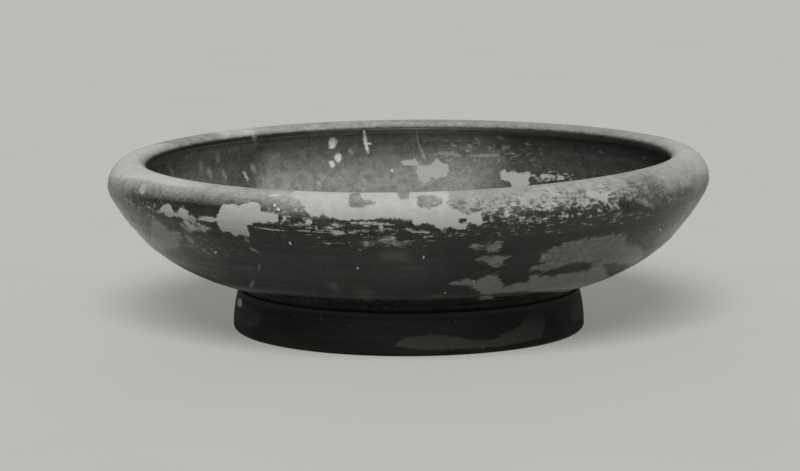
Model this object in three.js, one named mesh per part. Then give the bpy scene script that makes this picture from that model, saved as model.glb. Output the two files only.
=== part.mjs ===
// A shallow wheel-thrown bowl with an incurved rim, on a ring foot that is luted to it with slip.
// Millimetres, +Z up. The origin is the centre of the plane that the foot rests on.
import * as THREE from "three";

// Driving dimensions of the bowl
const RIM_DIAMETER = 140; // at the widest, outside
const BOWL_HEIGHT = 40.8; // from the table to the crest of the rim
const SEAT_HEIGHT = 10.6; // from the table to the flat underside
const ROLL_RADIUS = 5.8; // of the rim, rolled over from the wall to the lip
const LIP_TURN = 41; // degrees that the roll goes on past the crest, down into the mouth
const LIP_EDGE_RADIUS = 0.9; // of the rounded arris at the mouth
const LIP_UNDERCUT = 48; // degrees from upright, the overhang under that arris
const THROAT_RADIUS = 7; // of the hollow under the lip
const WALL_THICKNESS = 5;
const FLOOR_THICKNESS = 5.5; // where the floor meets the wall
const FLOOR_DISH = 3; // degrees that the floor slopes to the middle at its edge
const NIPPLE_DIAMETER = 9; // the low knob that turning leaves in the middle of the underside
const NIPPLE_DROP = 0.8;

// Driving dimensions of the ring foot
const FOOT_DIAMETER = 82; // at the widest, just above the table
const FOOT_FLARE = 1.7; // spread from the foot's top to its widest, on the radius
const FOOT_SEAT_WIDTH = 6.6; // of the top that the bowl sits on
const FOOT_REST_WIDTH = 4.4; // of the flat ring on the table
const FOOT_EDGE_RADIUS = 1.1; // of both edges beside that ring

// The luted joint between them
const SLIP_THICKNESS = 0.6; // at the inner edge, where it is thinnest
const SLIP_GAP = 0.3; // left between the slip and the bowl

// Facets
const TURN_STEPS = 80; // round the axis
const CHORD_ERROR = 0.06; // between a drawn arc and its facets

// Sizes that follow
const rimRadius = RIM_DIAMETER / 2;
const widestHeight = BOWL_HEIGHT - ROLL_RADIUS;
const footRadius = FOOT_DIAMETER / 2;
const footTopRadius = footRadius - FOOT_FLARE;
const footBoreRadius = footTopRadius - FOOT_SEAT_WIDTH;
const footTop = SEAT_HEIGHT - SLIP_GAP - SLIP_THICKNESS;

const radians = THREE.MathUtils.degToRad;
const degrees = THREE.MathUtils.radToDeg;
const sin = (angle) => Math.sin(radians(angle));
const cos = (angle) => Math.cos(radians(angle));

// The wall is one arc, level where it leaves the foot's bore and tangent to the roll of the rim.
const wallReach = rimRadius - ROLL_RADIUS - footBoreRadius;
const wallRise = widestHeight - SEAT_HEIGHT;
const wallRadius =
  (wallReach ** 2 + wallRise ** 2 - ROLL_RADIUS ** 2) / (2 * (wallRise - ROLL_RADIUS));
const wallHeading = degrees(Math.atan2(wallReach, wallRadius - wallRise));

// A pen that draws a profile in the half plane of radius and height, material on its left.
// A heading of 0 points away from the axis and 90 points up.
class ProfilePen {
  constructor(radius, height) {
    this.points = [new THREE.Vector2(radius, height)];
  }

  get tip() {
    return this.points.at(-1);
  }

  lineTo(radius, height) {
    this.points.push(new THREE.Vector2(radius, height));
    return this;
  }

  // An arc that turns from one heading to another, to the left where the heading grows.
  arc(bend, from, to) {
    const side = Math.sign(to - from) * bend;
    const centreRadius = this.tip.x - side * sin(from);
    const centreHeight = this.tip.y + side * cos(from);
    const facetTurn = 2 * degrees(Math.acos(1 - CHORD_ERROR / Math.max(bend, CHORD_ERROR)));
    const steps = Math.ceil(Math.abs(to - from) / facetTurn);
    for (let step = 1; step <= steps; step++) {
      const heading = from + ((to - from) * step) / steps;
      this.lineTo(centreRadius + side * sin(heading), centreHeight - side * cos(heading));
    }
    return this;
  }

  close() {
    return this.lineTo(this.points[0].x, this.points[0].y);
  }
}

function turned(name, pen, material) {
  const geometry = new THREE.LatheGeometry(pen.points, TURN_STEPS).rotateX(Math.PI / 2);
  const mesh = new THREE.Mesh(geometry, material);
  mesh.name = name;
  return mesh;
}

// The height of the bowl's underside over the foot's seat
function undersideHeight(radius) {
  const run = radius - footBoreRadius;
  return SEAT_HEIGHT + wallRadius - Math.sqrt(wallRadius ** 2 - run ** 2);
}

function bowlProfile() {
  const nippleRadius = NIPPLE_DIAMETER / 2;
  const nippleBend = (nippleRadius ** 2 + NIPPLE_DROP ** 2) / (2 * NIPPLE_DROP);
  const pen = new ProfilePen(0, SEAT_HEIGHT - NIPPLE_DROP)
    .arc(nippleBend, 0, degrees(Math.asin(nippleRadius / nippleBend)))
    .lineTo(footBoreRadius, SEAT_HEIGHT)
    .arc(wallRadius, 0, wallHeading)
    .arc(ROLL_RADIUS, wallHeading, 90)
    .arc(ROLL_RADIUS, 90, 180)
    .arc(ROLL_RADIUS, 180, 180 + LIP_TURN)
    .arc(LIP_EDGE_RADIUS, 180 + LIP_TURN, 270 + LIP_UNDERCUT);

  // Inside, the throat's arc and the inner wall's arc meet at the heading that brings them to the floor.
  const undercut = 270 + LIP_UNDERCUT;
  const floorEdge = 180 + FLOOR_DISH;
  const innerRadius = wallRadius - WALL_THICKNESS;
  const floorHeight = SEAT_HEIGHT + FLOOR_THICKNESS;
  const drop = pen.tip.y - floorHeight;
  const meeting = (drop - THROAT_RADIUS * cos(undercut) + innerRadius * cos(floorEdge)) /
    (innerRadius - THROAT_RADIUS);
  const meetingHeading = 360 - degrees(Math.acos(meeting));
  pen.arc(THROAT_RADIUS, undercut, meetingHeading).arc(innerRadius, meetingHeading, floorEdge);

  // The floor is a shallow dish, level at the axis.
  const dishRadius = pen.tip.x / sin(FLOOR_DISH);
  return pen.arc(dishRadius, floorEdge, 180);
}

function footProfile() {
  const restOuter = footRadius - FOOT_EDGE_RADIUS;
  const restInner = restOuter - FOOT_REST_WIDTH;
  const faceRise = footTop - FOOT_EDGE_RADIUS;
  const faceBend = (faceRise ** 2 + FOOT_FLARE ** 2) / (2 * FOOT_FLARE);

  // The inner face slopes from the bore to the rounded inner edge and is tangent to it.
  const edgeRun = restInner - footBoreRadius;
  const edgeDrop = FOOT_EDGE_RADIUS - footTop;
  const innerHeading = 360 + degrees(
    Math.atan2(edgeDrop, edgeRun) - Math.asin(FOOT_EDGE_RADIUS / Math.hypot(edgeRun, edgeDrop)),
  );
  return new ProfilePen(restInner, 0)
    .lineTo(restOuter, 0)
    .arc(FOOT_EDGE_RADIUS, 0, 90)
    .arc(faceBend, 90, 90 + degrees(Math.asin(faceRise / faceBend)))
    .lineTo(footBoreRadius, footTop)
    .lineTo(
      restInner + FOOT_EDGE_RADIUS * sin(innerHeading),
      FOOT_EDGE_RADIUS * (1 - cos(innerHeading)),
    )
    .arc(FOOT_EDGE_RADIUS, innerHeading, 360);
}

function slipProfile() {
  const outerHeading = degrees(Math.asin(FOOT_SEAT_WIDTH / wallRadius));
  return new ProfilePen(footBoreRadius, footTop)
    .lineTo(footTopRadius, footTop)
    .lineTo(footTopRadius, undersideHeight(footTopRadius) - SLIP_GAP)
    .arc(wallRadius, 180 + outerHeading, 180)
    .close();
}

const blackGlaze = new THREE.MeshStandardMaterial({ color: 0x2b2a28, roughness: 0.35, metalness: 0 });
const footGlaze = new THREE.MeshStandardMaterial({ color: 0x201f1d, roughness: 0.38, metalness: 0 });
const clay = new THREE.MeshStandardMaterial({ color: 0xb7b2a6, roughness: 0.85, metalness: 0 });

const bowl = new THREE.Group();
bowl.add(
  turned("bowl_body", bowlProfile(), blackGlaze),
  turned("ring_foot", footProfile(), footGlaze),
  turned("luting_slip", slipProfile(), clay),
);

export default bowl;
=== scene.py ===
"""A shallow black-glazed bowl with an incurved rim on a ring foot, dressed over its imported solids.

Profiles, outlines and marks are in millimetres, and meshes are in metres. An angle round the bowl is in
degrees from the front, growing to the right. A run is the length along the profile from the crest of the
rim: down the outside it is positive, and into the mouth it is negative.
"""
import math
from types import SimpleNamespace

import bmesh
import bpy
import numpy as np
from mathutils import Matrix, Vector


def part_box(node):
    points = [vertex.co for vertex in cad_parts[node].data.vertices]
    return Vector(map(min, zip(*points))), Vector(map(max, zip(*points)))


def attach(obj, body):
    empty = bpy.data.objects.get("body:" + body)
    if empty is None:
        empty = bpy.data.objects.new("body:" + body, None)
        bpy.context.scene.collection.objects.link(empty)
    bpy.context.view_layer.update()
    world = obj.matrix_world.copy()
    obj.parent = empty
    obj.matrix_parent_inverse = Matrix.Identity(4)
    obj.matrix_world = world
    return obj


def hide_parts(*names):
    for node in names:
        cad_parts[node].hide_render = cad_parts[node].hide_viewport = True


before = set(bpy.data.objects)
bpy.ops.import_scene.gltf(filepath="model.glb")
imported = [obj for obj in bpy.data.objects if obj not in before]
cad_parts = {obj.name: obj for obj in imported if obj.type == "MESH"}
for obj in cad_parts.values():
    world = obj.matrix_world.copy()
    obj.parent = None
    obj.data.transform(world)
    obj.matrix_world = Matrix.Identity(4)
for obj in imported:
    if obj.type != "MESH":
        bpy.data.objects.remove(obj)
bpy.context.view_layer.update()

MM = 0.001

# Sizes that the frame gives
_, bowl_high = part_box("bowl_body")
_, foot_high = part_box("ring_foot")
_, slip_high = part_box("luting_slip")
RIM_RADIUS = bowl_high[0] / MM
CREST = bowl_high[2] / MM
FOOT_RADIUS = foot_high[0] / MM
FOOT_TOP = foot_high[2] / MM
FOOT_TOP_RADIUS = slip_high[0] / MM

# Sizes of the bowl's profile
SEAT_HEIGHT = 10.6
ROLL_RADIUS = 5.8
LIP_TURN = 41
LIP_EDGE_RADIUS = 0.9
LIP_UNDERCUT = 48
THROAT_RADIUS = 7
WALL_THICKNESS = 5
FLOOR_THICKNESS = 5.5
FLOOR_DISH = 3
NIPPLE_RADIUS = 4.5
NIPPLE_DROP = 0.8
CREST_RADIUS = RIM_RADIUS - ROLL_RADIUS

# Sizes of the foot's profile, and how much fuller its top is than the solid's
FOOT_SEAT_WIDTH = 6.6
FOOT_REST_WIDTH = 4.4
FOOT_EDGE_RADIUS = 1.1
FOOT_SWELL = 0.45
BORE_RADIUS = FOOT_TOP_RADIUS - FOOT_SEAT_WIDTH

# How deep a finger wiped the slip
SLIP_HOLLOW = 0.15

# Fineness of the turned meshes
TURN_SECTORS = 10
SECTOR_STEPS = 50
RIM_STEP = 0.42
WALL_STEP = 0.65
INNER_STEP = 1.0
HIDDEN_STEP = 2.0

# Lean and warp of the hand-thrown rim at its crest: waves round the bowl, then size along +X and +Y
RIM_LIFT = ((1, 0.73, 0.34), (2, 0.14, -0.17), (3, 0.02, -0.12))
RIM_OVAL = (2, -0.25, 0.20)

# How much the mouth is wider at its sides, and how far in from the crest all of that is reached
MOUTH_WIDENING = 1.0
MOUTH_BLEND = 4.0

# Ridges that the fingers left on the wheel
OUTSIDE_RIDGE = 0.045
INSIDE_RIDGE = 0.08
RIM_RIDGE = 0.015

# Their waves down the wall: share, radians in a millimetre, and how much of the wander they follow
RIDGE_WAVES = ((0.5, 2.1, 1.0), (0.3, 3.3, -1.6), (0.4, 0.83, 0.5))

# Their wander round the bowl: share, waves round the bowl, and start
RIDGE_WANDER = ((0.6, 1.0, 0.7), (0.4, 2.0, 2.1))


def sine(degrees):
    return math.sin(math.radians(degrees))


def cosine(degrees):
    return math.cos(math.radians(degrees))


def smooth_step(values, low, high):
    share = np.clip((values - low) / (high - low), 0.0, 1.0)
    return share * share * (3.0 - 2.0 * share)


def angle_between(angle, centre):
    """Degrees from a centre angle, the short way round."""
    return (angle - centre + 180.0) % 360.0 - 180.0


class ProfilePen:
    """Draws a profile in the half plane of radius and height, with the material on its left.

    A heading of 0 points away from the axis and 90 points up. Each point keeps the length drawn so far.
    """

    def __init__(self, radius, height):
        self.points = [(radius, height, 0.0)]

    def _add(self, radius, height):
        last_radius, last_height, length = self.points[-1]
        step = math.hypot(radius - last_radius, height - last_height)
        self.points.append((radius, height, length + step))

    def line_to(self, radius, height, step):
        start_radius, start_height, _ = self.points[-1]
        length = math.hypot(radius - start_radius, height - start_height)
        count = max(1, math.ceil(length / step))
        for index in range(1, count + 1):
            share = index / count
            self._add(
                start_radius + (radius - start_radius) * share,
                start_height + (height - start_height) * share,
            )

    def arc(self, bend, start, end, step):
        side = math.copysign(bend, end - start)
        centre_radius = self.points[-1][0] - side * sine(start)
        centre_height = self.points[-1][1] + side * cosine(start)
        count = max(2, math.ceil(math.radians(abs(end - start)) * bend / step))
        for index in range(1, count + 1):
            heading = start + (end - start) * index / count
            self._add(centre_radius + side * sine(heading), centre_height - side * cosine(heading))


# The wall is one arc, level where it leaves the foot's bore and tangent to the roll of the rim.
wall_reach = CREST_RADIUS - BORE_RADIUS
wall_rise = CREST - ROLL_RADIUS - SEAT_HEIGHT
WALL_RADIUS = (wall_reach ** 2 + wall_rise ** 2 - ROLL_RADIUS ** 2) / (2 * (wall_rise - ROLL_RADIUS))
WALL_HEADING = math.degrees(math.atan2(wall_reach, WALL_RADIUS - wall_rise))


def bowl_profile():
    """Radius, height and run of the bowl, from the middle of the underside to the middle of the floor."""
    nipple_bend = (NIPPLE_RADIUS ** 2 + NIPPLE_DROP ** 2) / (2 * NIPPLE_DROP)
    pen = ProfilePen(0.0, SEAT_HEIGHT - NIPPLE_DROP)
    pen.arc(nipple_bend, 0, math.degrees(math.asin(NIPPLE_RADIUS / nipple_bend)), HIDDEN_STEP)
    pen.line_to(BORE_RADIUS, SEAT_HEIGHT, HIDDEN_STEP)
    pen.arc(WALL_RADIUS, 0, WALL_HEADING, WALL_STEP)
    pen.arc(ROLL_RADIUS, WALL_HEADING, 180, RIM_STEP)
    crest_length = pen.points[-1][2]

    lip_heading = 180 + LIP_TURN
    undercut = 270 + LIP_UNDERCUT
    pen.arc(ROLL_RADIUS, 180, lip_heading, RIM_STEP)
    pen.arc(LIP_EDGE_RADIUS, lip_heading, undercut, RIM_STEP / 2)

    floor_edge = 180 + FLOOR_DISH
    inner_radius = WALL_RADIUS - WALL_THICKNESS
    drop = pen.points[-1][1] - SEAT_HEIGHT - FLOOR_THICKNESS
    meeting = drop - THROAT_RADIUS * cosine(undercut) + inner_radius * cosine(floor_edge)
    meeting_heading = 360 - math.degrees(math.acos(meeting / (inner_radius - THROAT_RADIUS)))
    pen.arc(THROAT_RADIUS, undercut, meeting_heading, WALL_STEP)
    pen.arc(inner_radius, meeting_heading, floor_edge, INNER_STEP)
    pen.arc(pen.points[-1][0] / sine(FLOOR_DISH), floor_edge, 180, HIDDEN_STEP)
    return [(max(radius, 0.0), height, crest_length - length) for radius, height, length in pen.points]


def foot_profile():
    """Radius, height and run of the ring foot, where the run starts at the inner edge of its rest."""
    rest_outer = FOOT_RADIUS - FOOT_EDGE_RADIUS
    rest_inner = rest_outer - FOOT_REST_WIDTH
    flare = FOOT_RADIUS - FOOT_TOP_RADIUS - FOOT_SWELL
    face_rise = FOOT_TOP - FOOT_EDGE_RADIUS
    face_bend = (face_rise ** 2 + flare ** 2) / (2 * flare)
    edge_run = rest_inner - BORE_RADIUS
    edge_drop = FOOT_EDGE_RADIUS - FOOT_TOP
    slope = math.atan2(edge_drop, edge_run) - math.asin(FOOT_EDGE_RADIUS / math.hypot(edge_run, edge_drop))
    inner_heading = 360 + math.degrees(slope)

    pen = ProfilePen(rest_inner, 0.0)
    pen.line_to(rest_outer, 0.0, RIM_STEP)
    pen.arc(FOOT_EDGE_RADIUS, 0, 90, RIM_STEP / 2)
    pen.arc(face_bend, 90, 90 + math.degrees(math.asin(face_rise / face_bend)), RIM_STEP)
    pen.line_to(BORE_RADIUS, FOOT_TOP, WALL_STEP)
    pen.line_to(
        rest_inner + FOOT_EDGE_RADIUS * sine(inner_heading),
        FOOT_EDGE_RADIUS * (1 - cosine(inner_heading)),
        WALL_STEP,
    )
    pen.arc(FOOT_EDGE_RADIUS, inner_heading, 360, RIM_STEP / 2)
    return pen.points[:-1]


def slip_profile():
    """Radius, height and run of the slip ring, hollowed a little where the potter's finger wiped it."""
    outer_heading = math.degrees(math.asin(FOOT_SEAT_WIDTH / WALL_RADIUS))
    top_height = SEAT_HEIGHT + WALL_RADIUS * (1 - cosine(outer_heading))
    rise = top_height - FOOT_TOP
    hollow_bend = (rise ** 2 / 4 + SLIP_HOLLOW ** 2) / (2 * SLIP_HOLLOW)
    hollow_turn = math.degrees(math.asin(rise / 2 / hollow_bend))
    pen = ProfilePen(BORE_RADIUS, FOOT_TOP)
    pen.line_to(FOOT_TOP_RADIUS, FOOT_TOP, WALL_STEP)
    pen.arc(hollow_bend, 90 + hollow_turn, 90 - hollow_turn, RIM_STEP / 2)
    pen.arc(WALL_RADIUS, 180 + outer_heading, 180, WALL_STEP)
    pen.line_to(BORE_RADIUS, FOOT_TOP, RIM_STEP)
    return pen.points[:-1]


def wave_round(turn, waves, along_x, along_y):
    return along_x * np.cos(waves * turn) + along_y * np.sin(waves * turn)


def uneven(places):
    """Where points of the true bowl, in millimetres, lie on the hand-thrown one."""
    share = np.clip((places[:, 2] - SEAT_HEIGHT) / (CREST - SEAT_HEIGHT), 0.0, 1.0)
    turn = np.arctan2(places[:, 1], places[:, 0])
    radius = np.hypot(places[:, 0], places[:, 1])
    lift = sum(wave_round(turn, *wave) for wave in RIM_LIFT)
    at_mouth = smooth_step(radius, CREST_RADIUS, CREST_RADIUS - MOUTH_BLEND)
    spread = wave_round(turn, *RIM_OVAL) + MOUTH_WIDENING * at_mouth * np.cos(turn) ** 2
    moved = places.copy()
    moved[:, 0] += spread * share * np.cos(turn)
    moved[:, 1] += spread * share * np.sin(turn)
    moved[:, 2] += lift * share
    return moved


def ridge_height(angle, run):
    """How far the wheel ridges stand out, in millimetres."""
    turn = np.radians(angle)
    wander = sum(share * np.sin(waves * turn + start) for share, waves, start in RIDGE_WANDER)
    ridge = sum(share * np.sin(pace * run + follow * wander) for share, pace, follow in RIDGE_WAVES)
    size = np.where(run > 0.0, OUTSIDE_RIDGE, INSIDE_RIDGE)
    on_rim = smooth_step(np.abs(run - 1.0), 9.0, 6.0)
    return ridge * (size + (RIM_RIDGE - size) * on_rim)


def turned_piece(name, points, closed):
    """An object turned from a profile, with each vertex's run kept as an attribute."""
    shape = bmesh.new()
    run_layer = shape.verts.layers.float.new("run")
    ring = []
    for radius, height, run in points:
        vertex = shape.verts.new((radius * MM, 0.0, height * MM))
        vertex[run_layer] = run
        ring.append(vertex)
    following = ring[1:] + ring[:1] if closed else ring[1:]
    edges = [shape.edges.new(pair) for pair in zip(ring, following)]
    axis = {"cent": (0, 0, 0), "axis": (0, 0, 1)}
    sector = math.tau / TURN_SECTORS
    bmesh.ops.spin(shape, geom=ring + edges, angle=sector, steps=SECTOR_STEPS, **axis)
    first = shape.verts[:] + shape.edges[:] + shape.faces[:]
    copies = TURN_SECTORS - 1
    bmesh.ops.spin(shape, geom=first, angle=sector * copies, steps=copies, use_duplicate=True, **axis)
    bmesh.ops.remove_doubles(shape, verts=shape.verts, dist=0.001 * MM)
    bmesh.ops.recalc_face_normals(shape, faces=shape.faces)
    for face in shape.faces:
        face.smooth = True
    return finished(name, shape)


def finished(name, shape):
    """The object of a finished bmesh, in the scene."""
    mesh = bpy.data.meshes.new(name)
    shape.to_mesh(mesh)
    shape.free()
    piece = bpy.data.objects.new(name, mesh)
    bpy.context.scene.collection.objects.link(piece)
    return piece


def vertex_values(collection, name, width):
    values = np.empty(len(collection) * width, dtype=np.float32)
    collection.foreach_get(name, values)
    return values.reshape(-1, width) if width > 1 else values


def vertex_places(piece):
    """Angle from the front, run, and the coordinates in millimetres of a piece's vertices."""
    run = vertex_values(piece.data.attributes["run"].data, "value", 1)
    places = vertex_values(piece.data.vertices, "co", 3) / MM
    return np.degrees(np.arctan2(places[:, 0], -places[:, 1])), run, places


def make_bowl():
    piece = turned_piece("glazed_bowl", bowl_profile(), closed=False)
    angle, run, places = vertex_places(piece)
    normals = vertex_values(piece.data.vertex_normals, "vector", 3)
    places = uneven(places + normals * ridge_height(angle, run)[:, None])
    piece.data.vertices.foreach_set("co", (places * MM).astype(np.float32).ravel())
    piece.data.update()
    return piece


def make_foot():
    return turned_piece("glazed_foot", foot_profile(), closed=True)


def make_slip():
    return turned_piece("slip_seam", slip_profile(), closed=True)


# Bare clay where the glaze has flaked off: outlines of angle and run
LEFT_FLAKE = (
    (-36.8, 9.9), (-35.7, 8.2), (-35.6, 7.3), (-34.9, 6.7), (-33.6, 6.2), (-31.8, 6.7), (-30.9, 6),
    (-28.6, 5.3), (-27.6, 5.8), (-26.9, 7.4), (-23.4, 7.6), (-23.3, 9.6), (-27.5, 9.9), (-29.9, 10.7),
    (-29.9, 12.4), (-30.2, 13.9), (-32.3, 13.6), (-33.6, 14.7), (-34.2, 12.8), (-36, 13.3), (-36.5, 11.2),
)
LEFT_STRIP = ((-40.8, 9.9), (-36.4, 9.7), (-36.3, 10.6), (-38.3, 10.8), (-40.9, 10.9))
SMALL_FLAKE = (
    (-52.7, 10.7), (-51.3, 9.8), (-50.9, 8.8), (-49, 8), (-47.5, 9.3), (-46.2, 10), (-45.7, 8.8),
    (-45.1, 8.1), (-43.6, 8.9), (-43, 10), (-44.2, 11.2), (-45.4, 10.8), (-47.6, 10.6), (-48.8, 11.4),
    (-50.3, 10.4),
)
GREY_FLAKE = (
    (-45.4, 9.4), (-43.4, 8.9), (-41.4, 10.2), (-41.8, 11.7), (-40.6, 11.4), (-39.6, 11.8), (-39.3, 12.5),
    (-37.6, 13), (-39.6, 13.5), (-40.5, 14.1), (-43.6, 14.2), (-44.6, 15), (-46.8, 12.6), (-45, 11.5),
)
LEFT_CHIP = ((-60.4, 4.3), (-58.6, 4.6), (-57.1, 6.7), (-57.9, 7.4), (-59.6, 6.7))
FRONT_BAND = (
    (-23.5, -3.9), (-21.6, 3.6), (-20, 4.1), (-18.8, 5.8), (-17.9, 7.7), (-15.8, 8.3), (-15.4, 6.7),
    (-14.4, 8), (-11.3, 8.5), (-8, 8.3), (-3.2, 8.1), (0.4, 8.5), (0.9, 9.6), (4.4, 9.6), (5.2, 11),
    (7, 10.4), (8.9, 11.2), (10.3, 11), (10.4, 9.3), (12.4, 10.6), (13.2, 9.8), (13, 7.6),
    (11.9, 6.9), (11, 8.1), (9, 7.1), (7.2, 6.1), (7, 4.6), (7.6, 2), (7, -3.9),
)
PALE_DASHES = (
    ((-18.1, 8.6), (-17, 8.6), (-16.9, 9.8), (-18.4, 9.9)),
    ((-13.9, 11.5), (-12.5, 10.7), (-11.2, 11.2), (-12, 12.2), (-13.4, 12.3)),
)
RIGHT_CHIP = (
    (33.8, 5), (35, 4.5), (36.2, 5.6), (39, 5.3), (40.4, 5.4), (39, 6.3), (38.5, 8), (37, 7.8),
    (36.4, 6.9), (34.4, 5.8),
)
INSIDE_FLAKE = (
    (178, -15.1), (176, -14.8), (174.6, -14.4), (173.3, -13), (172.4, -13.8), (170.7, -14.5),
    (170.5, -16.5), (170.9, -18), (173.4, -19), (174.3, -18), (175.2, -20.2), (176.4, -20.5),
    (177.7, -18.2),
)
INSIDE_ARM = ((181.9, -14.2), (181, -13.3), (178.4, -13.2), (176.8, -14.8), (180.2, -15))
INSIDE_DRIP = ((221.1, -13.8), (220.3, -13.9), (219.9, -16.2), (220.8, -16.6))
INSIDE_RIGHT_FLAKE = (
    (158.3, -15.8), (157.3, -14.9), (156.3, -15.9), (150.6, -15.9), (150.1, -16.9), (150.5, -17.7),
    (149.6, -19.4), (150.2, -20.8), (153.5, -21.2), (154.4, -19.2), (157.3, -18.4),
)
FLAKES = (
    LEFT_FLAKE, LEFT_STRIP, SMALL_FLAKE, LEFT_CHIP, FRONT_BAND, *PALE_DASHES, RIGHT_CHIP,
    INSIDE_FLAKE, INSIDE_ARM, INSIDE_DRIP, INSIDE_RIGHT_FLAKE,
)

# Outlines that come again: the outline and its move in angle and run
MOVED_FLAKES = (
    # Inside, on the right
    (PALE_DASHES[1], 159.2, -28.2), (PALE_DASHES[1], 154.8, -28.4),
    # Like wear on the sides that the photograph hides
    (LEFT_FLAKE, 165, 1), (SMALL_FLAKE, 190, -1.5), (SMALL_FLAKE, -95, 2),
    (INSIDE_FLAKE, -130, -6),
)

# Glaze that was left on in the bare band
REMNANTS = (
    ((8.4, 8.5), (10.4, 8.5), (9.9, 9.4), (8.9, 9.6)),
    ((-11.2, 1), (-10.7, 5.6), (-8, 5.9), (-5.6, 4.4), (-7, 3.4), (-8.3, 3.6), (-9.2, 0)),
    ((-2.3, -1), (-1.7, 3.3), (-0.2, 4.6), (0.2, 2.4), (0.2, -1)),
    ((1.4, 2.4), (1.7, 5.6), (3.8, 6.2), (6.1, 5), (6, 3.6), (4.6, 2.2)),
)

# Thin glaze that fired grey: outlines of angle and run
THIN_PATCHES = (
    # Low on the right of the wall
    ((11.4, 15.2), (17.6, 15.1), (17.2, 16.8), (15.5, 18.3), (14.6, 17.4), (12.3, 16.9)),
    (
        (12.9, 20.4), (14.7, 19.2), (18, 19.3), (19.3, 19.7), (18.2, 20.8), (18.6, 21.9), (19.4, 22.9),
        (17, 23.3), (15.6, 21.7), (14.8, 20.8),
    ),
    (
        (30.3, 16.8), (38.5, 16.4), (44.6, 16.5), (46.3, 17.6), (47.8, 20), (53, 22), (62, 27),
        (66, 32), (58, 29.6), (50, 27), (44, 26.8), (40, 25.1), (36.8, 24), (33.5, 24.9),
        (29.5, 26.3), (27.4, 25.5), (25.7, 26), (25.5, 24.6), (28, 23.2), (26.8, 21.2), (25.2, 19.8),
        (27.4, 19.6), (28.5, 17.8), (30, 18.5),
    ),
    (
        (8.2, 29.2), (11, 27.8), (12.6, 27.5), (14.4, 28.6), (15.2, 27), (18.3, 25), (19.3, 27.6),
        (21.3, 30.8), (21.2, 32.2), (24.7, 30.4), (27, 30.6), (26.5, 27.3), (28.4, 27.4), (29.6, 28.8),
        (34, 28.6), (39, 28.5), (43, 29), (42.4, 26.4), (46.5, 27.4), (51, 31.4), (56, 34.6),
        (62, 37.5), (58, 41), (47, 43), (42, 40.4), (36, 38.2), (29, 35.8), (22.4, 35.7),
        (17.6, 36.2), (15.7, 33), (13.2, 29.9),
    ),
    ((17.6, 38), (20.2, 37.2), (22.6, 39), (21.4, 40.6), (18.2, 40.2)),
    # On the left of the wall
    (
        (-57.4, 15), (-56.4, 13.5), (-54.4, 12.6), (-52.4, 14.1), (-51, 15.5), (-48.2, 15.2),
        (-48.3, 16.6), (-51.5, 19.6), (-55, 21.8), (-64, 24.6), (-67, 23), (-62, 19),
    ),
    ((-47.4, 15.4), (-46.5, 15.6), (-45.6, 17.4), (-44.6, 19.2), (-45, 20), (-46.4, 18.2)),
    ((-44.4, 19.6), (-43.6, 20.2), (-42.8, 21.8), (-43.4, 22)),
    # Under the bare band
    (
        (-6.6, 14.2), (-4.9, 13.4), (-4.3, 12.5), (-2.6, 12.6), (-2.2, 13.6), (1.1, 13.9), (0.5, 14.6),
        (-2.2, 15),
    ),
    ((-9.3, 15.5), (-7.1, 15.6), (-7.3, 16.1), (-9.2, 16.1)),
)

# How many of them come again on the back, and their move in angle and run
BACK_PATCHES = 4
BACK_MOVE = (140, 1)

# Thin glaze on the foot: outlines of angle and height
FOOT_PATCHES = (
    (
        (-4.8, 2.4), (-3, 3.6), (0, 4.5), (8, 5), (15, 4.3), (20, 3.3), (27, 3),
        (31, 3.9), (38, 5.5), (41, 7.2), (43.5, 8.8), (47.5, 8.9), (49.3, 7), (49.2, 4.2),
        (47, 1.9), (30, 1.4), (5, 1.6),
    ),
    ((-90, 3.2), (-66, 2.8), (-57, 3.8), (-56, 6.4), (-62, 7.6), (-90, 7.4)),
    ((65.5, 3.4), (66, 7.2), (76, 7.6), (79, 5.4), (77, 3.2)),
)

# A chip at the foot's top edge: outline of angle and height
FOOT_CHIP = ((-80, 7.3), (-77, 8.2), (-73.5, 8), (-72, 7), (-74, 6.2), (-78, 6.2))

# How high the bare ring reaches that the foot stands on, and how deep its outer face counts
BARE_REST = 0.05
FACE_DEPTH = 0.5

# The worn film on the rim, partly a painted highlight on its top and a painted sheen at its ends: angle,
# the runs outside where it starts to fade and ends, and its share
RIM_FILM_AND_HIGHLIGHT = (
    (-150, 2, 7.5, 0.76), (-144, 2, 7.5, 0.78), (-141, 2, 8, 0.97), (-133, 2, 8, 0.97),
    (-130, 2, 8, 0.66), (-117, 3, 10, 0.66), (-110, 3.5, 11, 0.95),
    (-100, 4, 12, 1), (-85, 6.6, 14.4, 1), (-77, 5.4, 12.6, 1),
    (-70, 4.6, 11.2, 1), (-62, 3.2, 8.6, 1), (-50, 3, 7.6, 0.98), (-40, 2.8, 7.2, 0.87),
    (-28, 2.6, 7.2, 0.8), (-22, 3.2, 8.6, 0.82), (12, 3.2, 8.2, 0.82), (28, 3, 8.4, 0.8),
    (43, 2, 8.6, 0.76), (51, 1.6, 12, 0.72), (58, 5.4, 11.8, 0.83), (70, 6, 13, 0.92),
    (85, 8, 16, 1), (105, 3, 10, 0.91), (130, 2, 7.5, 0.62), (180, 2, 7, 0.66),
)

# How much of that film and painted highlight is left on the lip: run and share
LIP_FILM_AND_HIGHLIGHT = ((-4.4, 0), (-4.1, 0.18), (-3.7, 0.72), (-3.1, 0.94), (-1.5, 1))

# How much film, partly a painted reflection, is left on the wall inside, across from the front: run and
# share
INSIDE_FILM_AND_REFLECTION = ((-24, 0.48), (-17, 0.34), (-13, 0.17), (-10, 0.1), (-8, 0.13), (-5, 0.18))

# Haze inside, partly painted light: the middle of its side, its least share, and what is added left and
# far left, partly a painted sheen, and under the lip, painted light in the lip's shade
HAZE_AND_LIGHT_MIDDLE = 190.0
LEAST_HAZE = 0.06
LEFT_HAZE_AND_SHEEN = 0.07
FAR_LEFT_HAZE_AND_SHEEN = 0.16
UNDER_LIP_PAINTED_LIGHT = 0.32

# Haze on the floor of the bowl, and dust low on the wall outside
FLOOR_HAZE = 0.20
LOW_WALL_DUST = 0.012

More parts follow.
